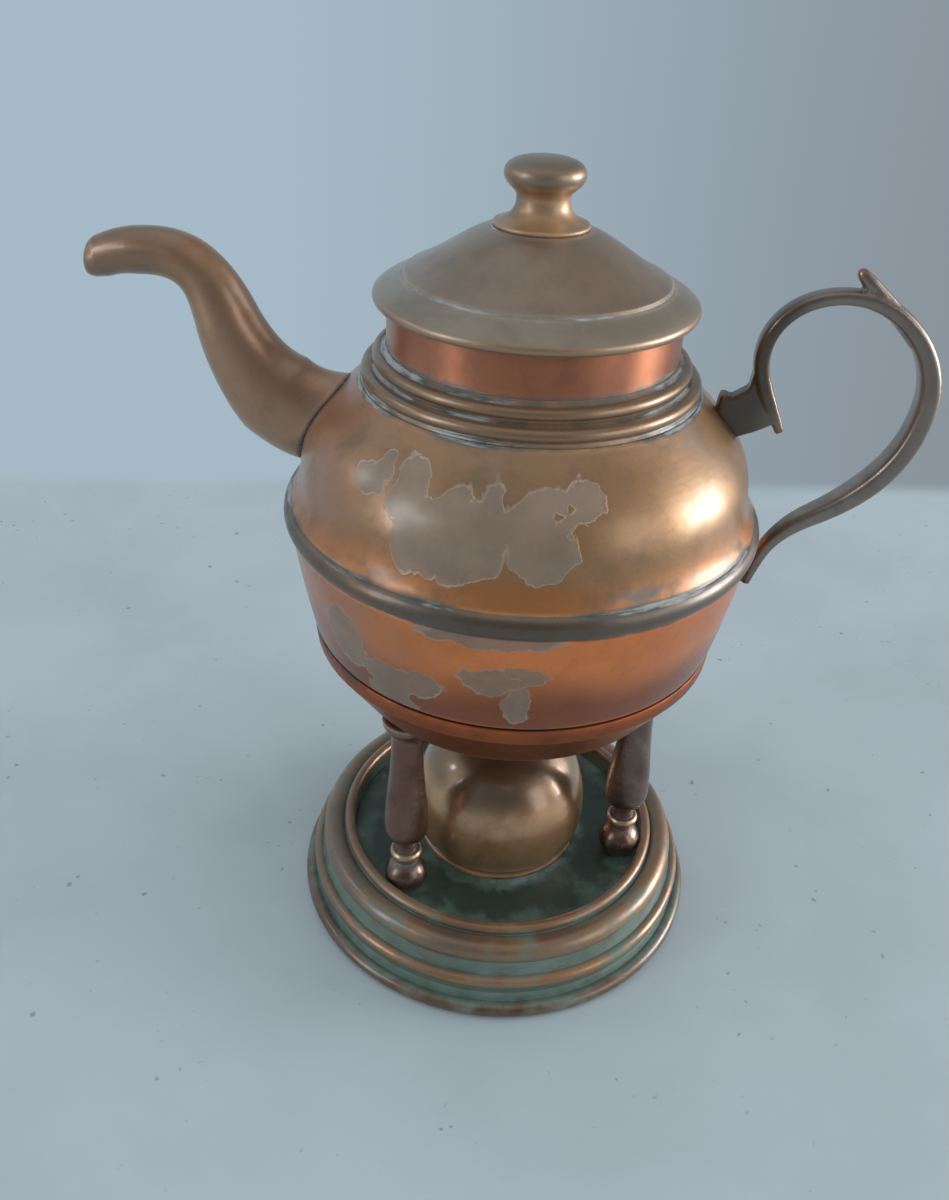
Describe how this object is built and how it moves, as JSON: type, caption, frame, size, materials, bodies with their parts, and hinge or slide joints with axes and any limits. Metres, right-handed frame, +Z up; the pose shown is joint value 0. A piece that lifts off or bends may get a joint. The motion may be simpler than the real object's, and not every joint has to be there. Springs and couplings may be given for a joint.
{
  "type": "spirit kettle on stand",
  "caption": "Copper and bronze kettle with a swan-neck spout, a scrolled handle and a lift-off lid, in a cradle on turned legs over a spirit burner on a round stepped base.",
  "frame": {"origin": "the axis of the stand, at the level of the table under the foot rim", "axes": "+Z up along the axis of the stand and kettle; the handle points along +X and the spout along -X; +Y completes the right-handed frame, pointing to the back of the pictured side"},
  "size_m": [0.2383, 0.1424, 0.253],
  "materials": {
    "copper": "worn warm copper with grime in the grooves",
    "bronze": "lacquered brown bronze, lacquer flaking",
    "dark_bronze": "dark brown cast bronze, worn on its edges",
    "verdigris": "green-black verdigris",
    "brass": "golden brown aged brass",
    "cotton": "woven cotton"
  },
  "bodies": {
    "stand": {"base_skirt": "copper", "base_floor": "verdigris", "leg_right": "dark_bronze", "leg_left": "dark_bronze", "leg_rear": "dark_bronze", "leg_nuts": "brass", "cradle_ring": "copper"},
    "kettle": {"kettle_bottom": "copper", "lower_body": "copper", "seam_band": "bronze", "upper_body": "bronze", "shoulder_rings": "bronze", "neck": "copper", "neck_flange": "copper", "spout": "bronze", "handle": "dark_bronze"},
    "lid": {"lid_cover": "bronze", "lid_collar": "copper", "lid_knob": "bronze", "lid_washer": "brass", "lid_nut": "brass"},
    "burner": {"burner_foot": "brass", "burner_reservoir": "brass", "burner_neck_ring": "brass"},
    "wick_holder": {"wick_holder": "brass", "wick_tube": "brass", "wick": "cotton"}
  },
  "joints": [
    {"name": "kettle_lift", "type": "slide", "parent": "stand", "child": "kettle", "axis": [0, 0, 1], "range_m": [0, 0.12]},
    {"name": "lid_lift", "type": "slide", "parent": "kettle", "child": "lid", "axis": [0, 0, 1], "range_m": [0, 0.06]},
    {"name": "burner_slide", "type": "slide", "parent": "stand", "child": "burner", "axis": [0.3368, -0.8773, 0.342], "range_m": [0, 0.105]},
    {"name": "wick_holder_turn", "type": "hinge", "parent": "burner", "child": "wick_holder", "pos_m": [0, 0, 0.0639], "axis": [0, 0, 1], "range_deg": [0, 360]}
  ]
}
